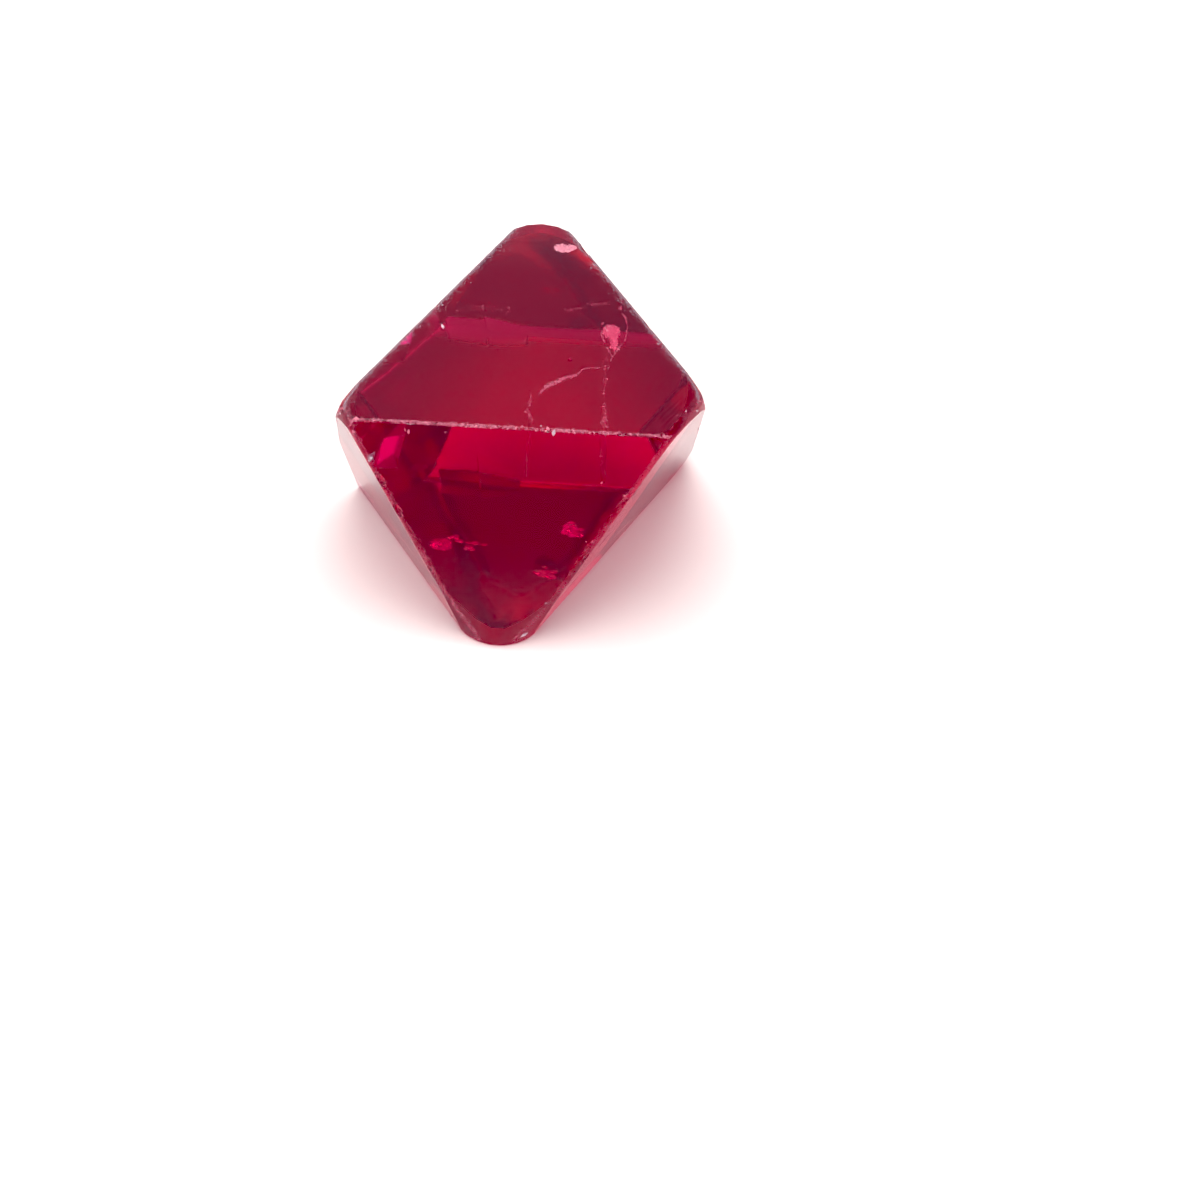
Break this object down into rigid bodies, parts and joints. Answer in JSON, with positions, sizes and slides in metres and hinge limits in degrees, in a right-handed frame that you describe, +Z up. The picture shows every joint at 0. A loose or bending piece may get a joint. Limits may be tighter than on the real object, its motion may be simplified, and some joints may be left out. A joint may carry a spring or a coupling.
{
  "type": "natural spinel crystal",
  "caption": "Loose red spinel crystal, an uneven octahedron with worn edges, see-through, resting flat on one of its growth faces.",
  "frame": {"origin": "middle of the crystal's outline on the surface it rests on, at the level of its resting face", "axes": "+Z up, away from the resting face; +Y along the longest side of the outline, from the front foot to the far corner; +X to the right as seen from the front"},
  "size_m": [0.008, 0.0086, 0.005],
  "materials": {
    "spinel_red": "clear, deep pinkish red, glassy growth faces with worn, frosted edges"
  },
  "bodies": {
    "root": {"spinel_crystal": "spinel_red"}
  },
  "joints": []
}
